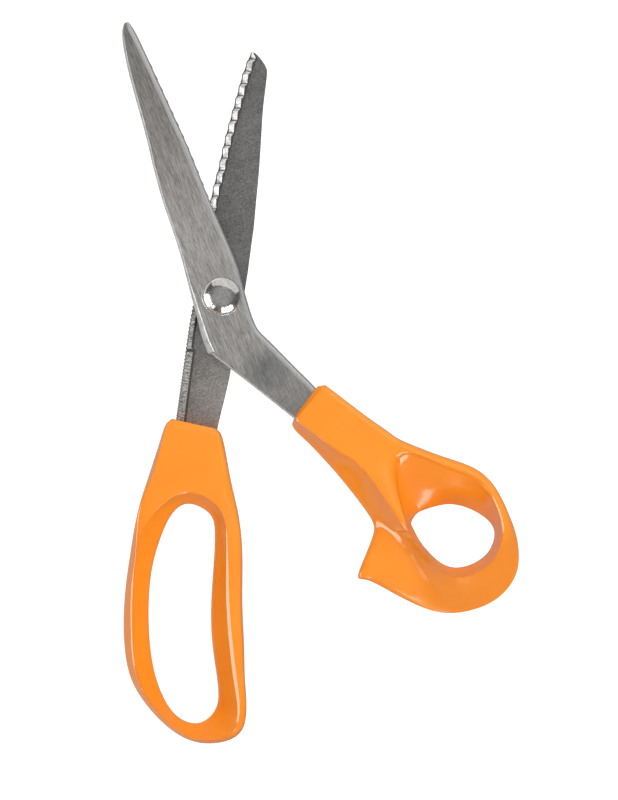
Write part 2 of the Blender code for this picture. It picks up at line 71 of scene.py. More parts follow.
class Finish:
    """A material under construction: a Principled shader with a few helpers for its inputs."""

    def __init__(self, name, colour, roughness, metallic=0.0):
        self.mat = bpy.data.materials.new(name)
        self.mat.use_nodes = True
        self.tree = self.mat.node_tree
        self.shader = self.tree.nodes["Principled BSDF"]
        self.set("Base Color", (*colour, 1.0))
        self.set("Roughness", roughness)
        self.set("Metallic", metallic)

    def set(self, socket, value):
        self.shader.inputs[socket].default_value = value

    def node(self, kind, **settings):
        made = self.tree.nodes.new("ShaderNode" + kind)
        for key, value in settings.items():
            setattr(made, key, value)
        return made

    def link(self, source, target):
        self.tree.links.new(source, target)

    def place(self, scale=(1.0, 1.0, 1.0), turn=0.0):
        """Coordinates fixed to the piece in metres, turned about Z and then scaled."""
        coords = self.node("TexCoord")
        spin = self.node("Mapping")
        spin.inputs["Rotation"].default_value = (0, 0, turn)
        stretch = self.node("Mapping")
        stretch.inputs["Scale"].default_value = scale
        self.link(coords.outputs["Object"], spin.inputs["Vector"])
        self.link(spin.outputs["Vector"], stretch.inputs["Vector"])
        return stretch.outputs["Vector"]

    def noise(self, vector, scale, detail=3.0, rough=0.55):
        made = self.node("TexNoise")
        made.inputs["Scale"].default_value = scale
        made.inputs["Detail"].default_value = detail
        made.inputs["Roughness"].default_value = rough
        self.link(vector, made.inputs["Vector"])
        return made.outputs["Fac"]

    def spread(self, value, low, high, from_low=0.3, from_high=0.7):
        """Carries a value from one range to another."""
        made = self.node("MapRange")
        made.inputs["From Min"].default_value = from_low
        made.inputs["From Max"].default_value = from_high
        made.inputs["To Min"].default_value = low
        made.inputs["To Max"].default_value = high
        self.link(value, made.inputs["Value"])
        return made.outputs["Result"]

    def ramp(self, value, *stops):
        """A colour for each value, by (value, colour) stops."""
        made = self.node("ValToRGB")
        set_stops(made, stops)
        self.link(value, made.inputs["Fac"])
        return made.outputs["Color"]

    def combine(self, a, b, how="ADD"):
        made = self.node("Math", operation=how)
        for k, source in enumerate((a, b)):
            if isinstance(source, (int, float)):
                made.inputs[k].default_value = source
            else:
                self.link(source, made.inputs[k])
        return made.outputs["Value"]

    def height_along(self, axis):
        """Metres from the pivot along one axis."""
        split = self.node("SeparateXYZ")
        self.link(self.place(), split.inputs["Vector"])
        return split.outputs[axis]

    def distance_from(self, centre):
        """Metres from a point given in millimetres from the pivot, seen from above."""
        made = self.node("VectorMath", operation="DISTANCE")
        self.link(self.place((1.0, 1.0, 0.0)), made.inputs[0])
        made.inputs[1].default_value = (centre[0] * MM, centre[1] * MM, 0.0)
        return made.outputs["Value"]

    def blend(self, share, below, above, how="MIX"):
        """The colour below, covered where share is high by the colour above, plain or from a node."""
        made = self.node("Mix", data_type="RGBA", blend_type=how)
        if isinstance(share, float):
            made.inputs["Factor"].default_value = share
        else:
            self.link(share, made.inputs["Factor"])
        self.link(below, made.inputs[MIX_A])
        if isinstance(above, tuple):
            made.inputs[MIX_B].default_value = (*above, 1.0)
        else:
            self.link(above, made.inputs[MIX_B])
        return made.outputs[MIX_RESULT]

    def mix_values(self, share, a, b):
        """The value a, or b where share is high."""
        made = self.node("Mix")
        self.link(share, made.inputs[0])
        self.link(a, made.inputs[2])
        self.link(b, made.inputs[3])
        return made.outputs[0]

    def streaks(self, turn):
        """A brushed pattern, and the finest part of it."""
        fine = self.noise(self.place((1.0, 0.08, 1.0), turn), 2900, 4, 0.85)
        wide = self.noise(self.place((1.0, 0.03, 1.0), turn), 1300, 2)
        cloud = self.noise(self.place(), 120, 3)
        both = self.combine(self.combine(fine, 0.92, "MULTIPLY"), self.combine(wide, 0.04, "MULTIPLY"))
        return self.combine(both, self.combine(cloud, 0.04, "MULTIPLY")), fine

    def bump(self, height, strength, distance):
        made = self.node("Bump")
        made.inputs["Strength"].default_value = strength
        made.inputs["Distance"].default_value = distance
        self.link(height, made.inputs["Height"])
        self.link(made.outputs["Normal"], self.shader.inputs["Normal"])


def plastic():
    """Glossy orange moulded plastic with faint flow marks and handling wear in the gloss."""
    f = Finish("orange_gloss_plastic", (0.75, 0.218, 0.015), 0.16)
    where = f.place()
    flow = f.ramp(f.noise(where, 60, 2), (0.3, (0.735, 0.208, 0.013)), (0.7, (0.765, 0.228, 0.017)))
    f.link(flow, f.shader.inputs["Base Color"])
    fine = f.noise(where, 900, 4)
    f.link(f.spread(fine, 0.12, 0.2), f.shader.inputs["Roughness"])
    f.bump(f.noise(where, 240, 3), 0.04, 0.0004)
    f.set("IOR", 1.5)
    return f.mat


def brushed(name, turn, dark, light, low=0.24, high=0.42, strength=0.25):
    """Steel brushed along one direction: fine streaks many times longer than they are wide."""
    f = Finish(name, light, 0.3, 1.0)
    streaks, fine = f.streaks(turn)
    f.link(f.ramp(streaks, (0.38, dark), (0.62, light)), f.shader.inputs["Base Color"])
    f.link(f.spread(fine, low, high), f.shader.inputs["Roughness"])
    f.bump(streaks, strength, 0.00004)
    return f.mat


def face_steel(turn):
    """The front blade's brushed face: painted paler by the pivot and darker towards the tip as painted light
    and shade, and scratched across and stained at the tang.
    """
    f = Finish("brushed_face", (0.7, 0.69, 0.67), 0.34, 1.0)
    streaks, fine = f.streaks(turn)
    crossed, _ = f.streaks(turn + math.radians(65))
    height = f.height_along("Y")
    mixed = f.mix_values(f.spread(height, 0.55, 0.0, -0.036, -0.022), streaks, crossed)
    colour = f.ramp(mixed, (0.38, (0.52, 0.505, 0.49)), (0.62, (1.1, 1.085, 1.06)))
    # painted light and shade along the blade: the face is painted paler by the pivot and darker towards the
    # tip
    shade = f.ramp(f.spread(height, 0.0, 1.0, -0.05, 0.1), *PAINTED_FACE_SHADE)
    colour = f.blend(1.0, colour, shade, "MULTIPLY")
    centre, radius = STAIN
    patch = f.spread(f.distance_from(centre), 1.1, 0.0, 0.2 * radius * MM, radius * MM)
    colour = f.blend(f.combine(patch, f.noise(f.place(), 260, 3), "MULTIPLY"), colour, STAIN_BLUE)
    f.link(colour, f.shader.inputs["Base Color"])
    f.link(f.spread(fine, 0.26, 0.4), f.shader.inputs["Roughness"])
    f.bump(mixed, 0.15, 0.00004)
    return f.mat


# Painted light and shade on the face: how bright it is painted, from 50 mm below the pivot (0) to 100 mm
# above it (1).
PAINTED_FACE_SHADE = ((0.07, (0.66, 0.645, 0.625)), (0.2, (0.86, 0.845, 0.825)), (0.36, (0.94, 0.925, 0.905)),
               (0.5, (0.99, 0.97, 0.95)), (0.68, (0.72, 0.70, 0.68)), (0.95, (0.56, 0.55, 0.54)))
STAIN = (15.3, -24.7), 8.5         # centre and radius of a bluish patch
STAIN_BLUE = (0.20, 0.23, 0.27)


def ground_bright(name, turn, colour, rough, metallic=1.0, contrast=0.8, relief=0.2):
    """Freshly ground steel: the tooth facets and the bevel along the back, with fine grinding lines."""
    f = Finish(name, colour, 0.25, metallic)
    where = f.place((1.0, 0.08, 1.0), turn)
    lines = f.noise(where, 3600, 3)
    cloud = f.noise(f.place(), 500, 3)
    dark = tuple(contrast * c for c in colour)
    f.link(f.ramp(f.combine(lines, cloud), (0.85, dark), (1.15, colour)), f.shader.inputs["Base Color"])
    f.link(f.spread(lines, *rough), f.shader.inputs["Roughness"])
    f.bump(lines, relief, 0.00003)
    return f.mat


def painted_shade_and_grime():
    """Painted shade with a little grime: the dark finish painted in the tooth roots, along the teeth's edges,
    in the nick and on the rear flange's inner wall, where shade falls.
    """
    f = Finish("painted_shade_recess", (0.05, 0.048, 0.045), 0.6)
    speck = f.noise(f.place(), 3000, 2)
    colour = f.ramp(speck, (0.3, (0.03, 0.028, 0.026)), (0.7, (0.09, 0.085, 0.08)))
    f.link(colour, f.shader.inputs["Base Color"])
    f.link(f.spread(speck, 0.5, 0.8), f.shader.inputs["Roughness"])
    return f.mat


def ground_dark():
    """The rear blade's inner face: dull dark steel, finely speckled, browner and paler at the tang."""
    f = Finish("dull_ground_steel", (0.3, 0.29, 0.28), 0.45, 1.0)
    where = f.place()
    speck = f.noise(where, 1900, 4, 0.85)
    scratch = f.noise(f.place((1.0, 0.05, 1.0), math.radians(65)), 2600, 3, 0.7)
    both = f.combine(f.combine(f.noise(where, 90, 3), 0.16, "MULTIPLY"), f.combine(speck, 0.68, "MULTIPLY"))
    both = f.combine(both, f.combine(scratch, 0.16, "MULTIPLY"))
    blade = f.ramp(both, (0.38, (0.17, 0.165, 0.16)), (0.62, (0.52, 0.51, 0.50)))
    tang = f.ramp(both, (0.38, (0.27, 0.25, 0.235)), (0.62, (0.78, 0.74, 0.70)))
    mixed = f.blend(f.spread(f.height_along("Y"), 1.0, 0.0, -0.03, -0.01), blade, tang)
    f.link(mixed, f.shader.inputs["Base Color"])
    f.link(f.spread(speck, 0.38, 0.6), f.shader.inputs["Roughness"])
    f.bump(speck, 0.35, 0.00005)
    return f.mat


def scored():
    """The rear tang's sawn edge: coarse bright and dark nicks across it."""
    f = Finish("scored_steel", (0.45, 0.44, 0.43), 0.45, 1.0)
    nicks = f.noise(f.place((0.25, 1.0, 1.0), math.radians(8)), 2200, 2, 0.8)
    colour = f.ramp(nicks, (0.38, (0.28, 0.27, 0.26)), (0.6, (0.95, 0.93, 0.90)))
    f.link(colour, f.shader.inputs["Base Color"])
    f.link(f.spread(nicks, 0.35, 0.6), f.shader.inputs["Roughness"])
    f.bump(nicks, 0.6, 0.0001)
    return f.mat


def polished():
    """The pivot's polished dome, with a haze of fine handling scratches."""
    f = Finish("polished_steel", (0.80, 0.78, 0.76), 0.1, 1.0)
    where = f.place()
    haze = f.noise(where, 650, 5, 0.7)
    f.link(f.spread(haze, 0.05, 0.24), f.shader.inputs["Roughness"])
    colour = f.ramp(haze, (0.35, (0.58, 0.56, 0.54)), (0.65, (0.88, 0.86, 0.84)))
    f.link(colour, f.shader.inputs["Base Color"])
    f.bump(haze, 0.16, 0.00008)
    return f.mat


def acetal():
    """The bushes' off-white slippery plastic."""
    f = Finish("acetal", (0.84, 0.83, 0.78), 0.45)
    where = f.place()
    f.link(f.spread(f.noise(where, 800, 3), 0.35, 0.55), f.shader.inputs["Roughness"])
    colour = f.ramp(f.noise(where, 200, 2), (0.3, (0.80, 0.79, 0.73)), (0.7, (0.87, 0.86, 0.82)))
    f.link(colour, f.shader.inputs["Base Color"])
    return f.mat


# ---------------------------------------------------------------- mesh helpers

def mix(a, b, t):
    """The point a share t of the way from a to b."""
    return tuple(p + (q - p) * t for p, q in zip(a, b))


def add_mesh(name, verts, faces):
    """A new object from points in millimetres, with its faces turned outwards."""
    mesh = bpy.data.meshes.new(name)
    mesh.from_pydata([(x * MM, y * MM, z * MM + AXIS_Z) for x, y, z in verts], [], faces)
    work = bmesh.new()
    work.from_mesh(mesh)
    bmesh.ops.recalc_face_normals(work, faces=work.faces)
    work.to_mesh(mesh)
    work.free()
    obj = bpy.data.objects.new(name, mesh)
    bpy.context.scene.collection.objects.link(obj)
    return obj


def make_piece(name, verts, faces, mats, body, slot, *nodes):
    """A visible piece that rides on a body and stands for CAD nodes."""
    obj = add_mesh(name, verts, faces)
    for mat in mats:
        obj.data.materials.append(mat)
    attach(obj, body)
    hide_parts(*nodes)
    return obj


def shade(obj, sharp_above):
    """Smooth shading, with edges sharp where faces meet at more than that many degrees."""
    obj.data.shade_smooth()
    obj.data.set_sharp_from_angle(angle=math.radians(sharp_above))


def settle(obj):
    """Turns the piece's modifiers into plain mesh."""
    bpy.context.view_layer.update()
    graph = bpy.context.evaluated_depsgraph_get()
    final = bpy.data.meshes.new_from_object(obj.evaluated_get(graph), depsgraph=graph)
    obj.modifiers.clear()
    obj.data = final


def turned(profile, segments):
    """A solid of revolution about the pivot axis from (radius, height) pairs, closed round its ring."""
    verts = []
    rows = []
    for radius, height in profile:
        steps = segments if radius > 0 else 1
        rows.append([len(verts) + k % steps for k in range(segments)])
        for k in range(steps):
            turn = 2 * math.pi * k / segments
            verts.append((radius * math.cos(turn), radius * math.sin(turn), height))
    faces = []
    for low, high in zip(rows, rows[1:] + rows[:1]):
        for k in range(segments):
            n = (k + 1) % segments
            corners = list(dict.fromkeys((low[k], low[n], high[n], high[k])))
            if len(corners) > 2:
                faces.append(tuple(corners))
    return verts, faces


# ---------------------------------------------------------------- handles

SECTION = 12                # points round one section of a loop
NECK = 16                   # points round one row of a neck
CREST = 3                   # the crest's place in a section
FACET_FALL = 0.68           # fall of the bevel along a crest for each millimetre of its width
NARROW = 0.3                # a bevel along the crest up to this width is creased on one side only
NECK_CREASES = ((2, 0.7), (3, 0.7), (5, 0.5), (11, 0.3), (13, 0.3))     # (place in a row, weight)
END_CREASE = 0.6
STOP_TUCK = 0.23            # share of the finger loop's width cut back below, where the spur stops on it
LOWEST = 0.1 * MM           # height of the handles' flat undersides above the table
HIGHEST = 13.5 * MM
FIT_ROUNDS = 9
FIT_STEP = 0.9


def handle_cage(loop, neck):
    """The points and quads of a looped handle: a ring of sections round the hole, and a neck.

    A section's points are the hole's wall, halfway up, the start of the bevel, the crest, the slope,
    the rim and the outer wall, then five back along the underside. Section 1 faces the neck, so its
    outer points aren't used. A neck row's points run from the left wall over the top to the right wall
    and back along the bottom.
    """
    verts = []
    faces = []
    ring = []
    for section in loop:
        ring.append(list(range(len(verts), len(verts) + SECTION)))
        verts.extend(section)
    hole_side = (9, 10, 11, 0, 1, 2)        # the quads that are left of a section beside the neck
    for s, a in enumerate(ring):
        b = ring[(s + 1) % len(ring)]
        steps = hole_side if s in (0, 1) else range(SECTION)
        faces += [(a[k], a[(k + 1) % SECTION], b[(k + 1) % SECTION], b[k]) for k in steps]
    left, top, right = ring[:3]
    rows = [[left[6], left[5], left[4], left[3], top[3], right[3], right[4], right[5],
             right[6], right[7], right[8], right[9], top[9], left[9], left[8], left[7]]]
    for row in neck:
        rows.append(list(range(len(verts), len(verts) + NECK)))
        verts.extend(row)
    for a, b in zip(rows, rows[1:]):
        faces += [(a[k], a[(k + 1) % NECK], b[(k + 1) % NECK], b[k]) for k in range(NECK)]
    cap_end(verts, faces, rows[-1])
    return verts, faces, ring, rows


def cap_end(verts, faces, end):
    """Closes the neck's end with quads, on a line of points halfway between its top and bottom."""
    middle = []
    for k in range(1, 8):
        middle.append(len(verts))
        verts.append(mix(verts[end[k]], verts[end[NECK - k]], 0.5))
    faces.append((end[0], end[1], middle[0], end[15]))
    faces.append((end[8], end[9], middle[-1], end[7]))
    for k in range(1, 7):
        faces.append((end[k], end[k + 1], middle[k], middle[k - 1]))
        faces.append((end[NECK - k], middle[k - 1], middle[k], end[15 - k]))


def sharpen(mesh, pairs):
    """Marks edges as partly creased, from {(vertex, vertex): weight}."""
    wanted = {tuple(sorted(pair)): weight for pair, weight in pairs.items()}
    layer = mesh.attributes.new("crease_edge", "FLOAT", "EDGE")
    for edge in mesh.edges:
        layer.data[edge.index].value = wanted.get(tuple(sorted(edge.vertices)), 0.0)


def fit_surface(obj, goal):
    """Moves the cage until the subdivided surface passes through the goal points."""
    goal = np.array([(x * MM, y * MM, z * MM + AXIS_Z) for x, y, z in goal])
    count = len(goal)
    for _ in range(FIT_ROUNDS):
        bpy.context.view_layer.update()
        shown = obj.evaluated_get(bpy.context.evaluated_depsgraph_get()).data
        got = np.array([shown.vertices[k].co for k in range(count)])
        cage = np.array([v.co for v in obj.data.vertices])
        moved = cage + FIT_STEP * (goal - got)
        obj.data.vertices.foreach_set("co", moved.astype(np.float32).ravel())
        obj.data.update()


def find_creases(ring, rows, ridge, place):
    """The handle's creased edges, as {(vertex, vertex): weight}."""
    creases = {}
    for s, (facet, weight) in enumerate(ridge):
        after = ring[(s + 1) % len(ring)]
        beside = CREST + 1 if facet < 0 else CREST - 1
        for column in (CREST, beside) if weight and abs(facet) > NARROW else (CREST,):
            creases[(place[ring[s][column]], place[after[column]])] = weight
    for low, high in zip(rows, rows[1:]):
        for column, weight in NECK_CREASES:
            creases[(place[low[column]], place[high[column]])] = weight
    for row in rows[-2:]:
        for k in range(NECK):
            creases[(place[row[k]], place[row[(k + 1) % NECK]])] = END_CREASE
    return creases


def handle(name, loop, neck, ridge, mat, body):
    """A smooth handle. ridge holds, for each section, its crest's bevel width and its crease weight."""
    verts, faces, ring, rows = handle_cage(loop, neck)
    used = sorted({v for face in faces for v in face})
    place = {v: k for k, v in enumerate(used)}
    faces = [tuple(place[v] for v in face) for face in faces]
    goal = [verts[v] for v in used]
    obj = make_piece(name + "_shell", goal, faces, [mat], body, "handle_plastic", name)
    sharpen(obj.data, find_creases(ring, rows, ridge, place))
    smooth = obj.modifiers.new("smooth", "SUBSURF")
    smooth.levels = smooth.render_levels = 3
    fit_surface(obj, goal)
    settle(obj)
    for v in obj.data.vertices:
        v.co.z = min(max(v.co.z, LOWEST), HIGHEST)
    obj.data.shade_smooth()


def neck_row(left, right, top, base, wall, ridge, side=0.0, facet=0.8):
    """Sixteen points round the neck between two wall points: a flat top, with the ridge at its left.

    ridge is the ridge's share of the way across. side is how far the face between the left wall and the
    ridge bulges out of a plane, and facet is the width of the bevel along the ridge.
    """
    start = ridge - facet / math.dist(left, right)
    edge = top - FACET_FALL * facet
    half = [(0.0, wall), (0.45 * ridge, wall + (0.45 + side) * (edge - wall)), (start, edge),
            (ridge, top), (0.5, top), (0.9, top), (0.965, 0.94 * top), (0.992, 0.62 * top), (1.0, wall)]
    back = [(0.99, 0.62 * base), (0.95, 0.94 * base), (0.88, base), (0.5, base),
            (0.12, base), (0.05, 0.94 * base), (0.01, 0.62 * base)]
    return [(*mix(left, right, t), z) for t, z in half + back]


def loop_section(inner, outer, crest, top, hole, soft, facet, tuck):
    """A section of the finger loop: a straight slope up from the hole to a crest, then the outer side.

    hole is the height of the hole's edge. facet is the width of the bevel along the crest, on the inner
    side, or on the outer side if it's negative, and without one its two points stay a hair apart. soft is
    0 for a square outer side, 1 for a slanted one. tuck draws the lower outer edge in by a share of the
    width, where the stop spur closes on it.
    """
    width = math.dist(inner, outer)
    rise = 1 - crest
    start = crest - max(facet, 0.0) / width
    drop = FACET_FALL * max(facet, 0.0)
    upper = [(0.45 * start, hole + 0.47 * (top - drop - hole)), (start - 0.001, top - drop), (crest, top)]
    if facet < 0:
        upper.append((crest - facet / width, top + FACET_FALL * facet))
        upper.append((crest + 0.82 * rise, 0.36 * top))
    else:
        upper.append((crest + (0.80 - 0.40 * soft) * rise, (0.96 - 0.28 * soft) * top))
        upper.append((crest + (0.98 - 0.15 * soft) * rise, (0.72 - 0.42 * soft) * top))
    lower = [(0.96 - tuck, (tuck - 0.66) * top), (0.86 - 0.6 * tuck, -0.95 * top), (0.5, -top),
             (0.2 * crest, -0.9 * top), (0.05, -0.5 * top)]
    return [(*mix(inner, outer, t), z) for t, z in [(0.0, hole)] + upper + [(1.0, 0.0)] + lower]


def finger_handle(mat):
    """The long loop for four fingers, on the rear blade."""
    sections = [
        # hole wall, outer wall, crest's share of the way out, crest's height, hole edge's height, how slanted
        # the outer side is, width of the bevel along the crest, crease
        ((-16.1, -72.0), (-26.3, -66.0), 0.42, 6.1, 0, 0, 0.8, 0.8),
        ((-11.0, -69.3), (-11.0, -60.0), 0.48, 6.1, 0, 0, 0.8, 0.8),
        ((-4.5, -72.3), (4.0, -66.0), 0.44, 6.1, 0, 0.2, 0.7, 0.8),
        ((-2.4, -78.5), (6.2, -77.6), 0.50, 6.1, 0, 0.1, 0.5, 0.8),
        ((-2.8, -90.0), (6.7, -90.0), 0.56, 6.2, 0, 0.1, 1.0, 0.8),
        ((-3.6, -103.0), (6.6, -103.0), 0.64, 6.2, -0.8, 0.1, 1.3, 0.8),
        ((-3.2, -116.2), (7.2, -117.0), 0.70, 6.2, -1.5, 0.1, 1.4, 0.8),
        ((-1.5, -128.5), (7.7, -128.5), 0.76, 6.2, -1.2, 0.2, 1.3, 0.8),
        ((-1.8, -137.3), (7.9, -141.2), 0.80, 6.2, -2.2, 0.4, 0.8, 0.5),
        ((-6.0, -142.0), (2.6, -147.9), 0.78, 6.2, -1.5, 0.8, 0.5, 0.2),
        ((-10.5, -142.4), (-8.5, -148.7), 0.70, 6.1, 0, 1, 0.3, 0.1),
        ((-15.5, -139.8), (-19.2, -142.7), 0.62, 6.0, 0, 1, 0.2, 0.3),
        ((-20.2, -132.5), (-27.8, -132.5), 0.60, 6.0, 0, 1, -0.7, 0.7),
        ((-23.3, -122.0), (-31.8, -122.0), 0.60, 6.0, 0, 1, -0.9, 0.75),
        ((-24.5, -109.0), (-32.8, -109.0), 0.58, 6.0, 0, 1, -0.9, 0.75),
        ((-24.1, -96.0), (-32.0, -96.0), 0.62, 6.0, 0, 1, -0.9, 0.75),
        ((-22.3, -86.0), (-30.5, -85.5), 0.68, 6.0, 0, 1, -0.7, 0.7),
        ((-19.4, -77.7), (-28.9, -76.0), 0.62, 6.1, 0, 0.3, 0.5, 0.6),
    ]
    by_stop = (4, 5, 6)         # the sections on which the spur closes
    tucks = [STOP_TUCK if k in by_stop else 0 for k in range(len(sections))]
    loop = [loop_section(*section[:7], tuck) for section, tuck in zip(sections, tucks)]
    # left wall, right wall
    rows = [((-23.8, -58.0), (2.4, -58.6)), ((-21.2, -50.0), (1.0, -51.0)),
            ((-19.5, -44.6), (0.0, -46.9)), ((-18.5, -42.4), (-0.7, -45.4)), ((-16.8, -41.0), (-2.0, -44.2))]
    heights = (6.0, 5.9, 5.8, 5.6, 4.9)
    rounds = (0.07, 0.06, 0.05, 0.05, 0.05)
    neck = [neck_row(a, b, h, -h, 0.0, r, 0.2, 0.3) for (a, b), h, r in zip(rows, heights, rounds)]
    handle("finger_handle", loop, neck, [section[-2:] for section in sections], mat, REAR)


def thumb_handle(mat):
    """The short tilted loop for the thumb, on the front blade, with the stop spur behind it."""
    sections = [
        # hole wall, outer wall, hole edge's height, share of the rise gained halfway to the bevel,
        # (share out, height) of crest, slope and rim, wall's height, width of the bevel, crease
        ((63.2, -75.4), (49.3, -73.6), -1.5, .50, (.25, 6.7), (.58, 1.9), (.90, -2.0), -3.8, 1.3, 0),
        ((65.0, -72.4), (54.6, -55.0), -4.0, .50, (.86, 5.9), (.94, 6.0), (.95, 6.0), 0, 4.8, 0),
        ((68.6, -70.6), (60.6, -48.4), -4.2, .52, (.85, 5.7), (.94, 5.5), (.985, 3.4), 0, 2.4, 0),
        ((75.3, -69.3), (73.4, -53.4), -5.0, .60, (.82, 5.4), (.93, 5.1), (.985, 3.0), 0, 1.3, .5),
        ((81.6, -70.4), (84.0, -57.3), -5.4, .54, (.80, 5.1), (.92, 4.7), (.985, 2.8), -.2, 1.3, .6),
        ((86.6, -72.9), (91.0, -63.6), -4.6, .46, (.74, 5.0), (.90, 4.2), (.98, 2.2), -.8, .9, .7),
        ((90.1, -76.2), (95.6, -72.4), -3.4, .46, (.58, 5.3), (.84, 3.6), (.97, .8), -1.6, .9, .8),
        ((91.1, -79.8), (98.4, -80.2), -2.2, .46, (.36, 5.9), (.70, 2.8), (.96, -1.2), -3.2, .8, .8),
        ((90.1, -83.6), (99.3, -87.2), -1.5, .46, (.23, 6.2), (.60, 1.2), (.95, -3.6), -4.6, .4, .6),
        ((87.7, -86.9), (97.8, -94.4), -1.2, .46, (.18, 6.4), (.56, 1.0), (.95, -4.5), -5.2, .25, .6),
        ((83.2, -89.7), (91.2, -101.8), -1, .46, (.17, 6.5), (.55, 1.2), (.95, -4.8), -5.4, .25, .6),
        ((77.7, -90.7), (80.4, -105.8), -1, .46, (.155, 6.6), (.53, 1.5), (.94, -5.0), -5.6, .25, .6),
        ((72.8, -88.9), (69.2, -104.9), -1, .46, (.12, 6.6), (.46, 1.0), (.93, -4.6), -5.5, .25, .6),
        ((68.9, -85.3), (56.8, -99.2), -1, .46, (.08, 6.6), (.36, .4), (.87, -1.8), -4.4, .25, .6),
        ((66.8, -82.8), (48.2, -94.8), -1, .46, (.065, 6.6), (.32, .4), (.88, -.4), -3.6, .25, .6),
        ((65.3, -80.5), (45.6, -92.6), -1, .46, (.085, 6.6), (.34, .9), (.90, -.4), -3.6, .25, .5),
        ((63.7, -77.4), (50.0, -81.2), -1.2, .48, (.17, 6.6), (.50, 0.9), (.91, -1.0), -3.6, .4, .1),
    ]
    base = 6.2
    loop = []
    for inner, outer, hole, gain, crest, slope, rim, wall, facet, _ in sections:
        start = crest[0] - facet / math.dist(inner, outer)
        edge = crest[1] - FACET_FALL * facet
        upper = [(0.45 * start, hole + gain * (edge - hole)), (start, edge), crest, slope, rim]
        below = [(0.97, -5.8), (0.80, -base), (0.46, -base), (0.14, -base), (0.02, -5.6)]
        heights = [(0.0, hole)] + upper + [(1.0, wall)] + below
        loop.append([(*mix(inner, outer, t), z) for t, z in heights])
    # left wall, right wall
    rows = [((41.4, -62.7), (56.0, -45.6)), ((35.7, -56.1), (49.6, -41.1)), ((29.3, -49.4), (42.4, -35.7)),
            ((24.7, -45.0), (36.4, -31.1)), ((23.4, -42.7), (34.3, -29.7)), ((24.2, -40.2), (31.9, -30.1))]
    tops = (6.4, 6.35, 6.2, 6.0, 5.7, 4.0)
    ridges = (0.36, 0.29, 0.23, 0.19, 0.16, 0.12)
    neck = [neck_row(a, b, h, -base * (0.98 if k < 5 else 0.75), -2.0, r)
            for k, ((a, b), h, r) in enumerate(zip(rows, tops, ridges))]
    handle("thumb_handle", loop, neck, [section[-2:] for section in sections], mat, FRONT)


# ---------------------------------------------------------------- blades

SHEET = 1.8                 # thickness of the steel
HALF_SPACE = 1.3            # from the mid-plane to each blade's inner face
BEND = 1.9                  # outer radius of the bend between blade and flange
FLANGE = 2.15               # width of the toothed edge
TOOTH_PITCH = 4.21
TOOTH_DEPTH = 1.7
TOOTH_START = 24.4          # distance of the first tooth from the pivot
TOOTH_PLAY = 0.12           # clearance between meshing teeth, measured along the pivot axis
TOOTH_LONG = 0.7            # share of a tooth that its long facet takes
TEETH = 14
LEAN = 0.26                 # sideways run of the flange for each millimetre of its height
GROOVE = 0.34               # width of the dark line of painted shade at the root of each tooth
GROOVE_DEPTH = 0.2
TOP_FLAT = 0.07             # from the top of each tooth to the sections on both sides of it
PLAIN_STEP = 2.5            # between sections where there are no teeth
TIP_STEPS = (0.02, 0.12, 0.35, 0.8, 1.6)        # of the outermost sections from the tip
TIP_FADE = 9.0              # length over which the bevel narrows towards the tip
SHADE_RUN = 0.3             # how far the flange's inner wall leans over from its foot
BEVEL_SLOPE = 0.28          # fall of the ground bevel along the back for each millimetre of its width
HOLE_R = 4.3                # the hole for the pivot's bushes
CORNER = 0.1                # chamfer along the corners of a blade's back
CORNER_RISE = 0.12          # height of the upper one
LINE_WIDTH = 0.2            # of the bright line between the bevel and the face
LINE_FALL = 0.15            # and its fall
MIN_BEVEL = 0.12
LINE = 0.13                 # from the bevel to where the face's own finish starts
EDGE_LINE = 0.38            # width of the dark line of painted shade along the outer side of the teeth
HEEL_LINE = 0.14            # and along their inner side
FILLET = 0.35               # rounding between the flange and the inner face
BEND_STEPS = 9
FACE_STEPS = 4
SCORE_DEPTH = 0.35          # of the nicks along the rear tang's edge
SAW_FROM = -3.0             # the rear tang's edge is scored from here down
NOTCH = (-17.4, -18.1)      # where the scored edge has a nick
NOTCH_DEPTH = 0.9
SLOTS = {"front_blade": "front_steel", "rear_blade": "rear_steel"}

# Widths, as (distance up the blade, width).
FRONT_BEVEL = ((-19.46, 0.4), (-19.44, 2.1), (-12.0, 1.7), (-3.0, 1.1), (3.0, 0.75), (12.0, 0.6),
               (30.0, 0.6), (80.0, 0.7))
REAR_BEVEL = ((0.0, 0.5),)
FRONT_FLANGE = ((0.0, FLANGE),)
REAR_FLANGE = ((-40.0, 3.0), (-18.6, 2.7), (-17.0, 2.0), (0.0, 1.8), (20.0, FLANGE))

# The strips round a blade's section, as places in its list of materials.
EDGE, BEVEL, BURR, FACE, ROLL, WALL, TOOTH, INNER, DARK, SCORE = range(10)


def zigzag(radius):
    """Height of the tooth line at a distance from the pivot: flat, then one long and one short facet."""
    run = radius - TOOTH_START
    if run <= 0 or run >= TOOTH_PITCH * TEETH:
        return 0.0
    phase = (run / TOOTH_PITCH + 0.5 + TOOTH_LONG / 2) % 1.0
    if phase < TOOTH_LONG:
        return (phase / TOOTH_LONG - 0.5) * TOOTH_DEPTH
    return (0.5 - (phase - TOOTH_LONG) / (1 - TOOTH_LONG)) * TOOTH_DEPTH


def curve_through(points, steps):
    """A smooth line through points, with that many steps from each to the next."""
    points = [np.array(p, float) for p in points]
    padded = [2 * points[0] - points[1]] + points + [2 * points[-1] - points[-2]]
    line = []
    for a, b, c, d in zip(padded, padded[1:], padded[2:], padded[3:]):
        for k in range(steps):
            t = k / steps
            line.append(tuple(0.5 * (2 * b + (c - a) * t + (2 * a - 5 * b + 4 * c - d) * t * t
                                     + (3 * b - a - 3 * c + d) * t ** 3)))
    return line + [tuple(points[-1])]


def on_circle(line, radius):
    """Where a line that runs inwards from the tip crosses a circle about the pivot."""
    for a, b in zip(line, line[1:]):
        ra, rb = math.hypot(*a), math.hypot(*b)
        if (ra - radius) * (rb - radius) <= 0 and ra != rb:
            return mix(a, b, (ra - radius) / (ra - rb))
    raise ValueError("the line does not reach that radius")


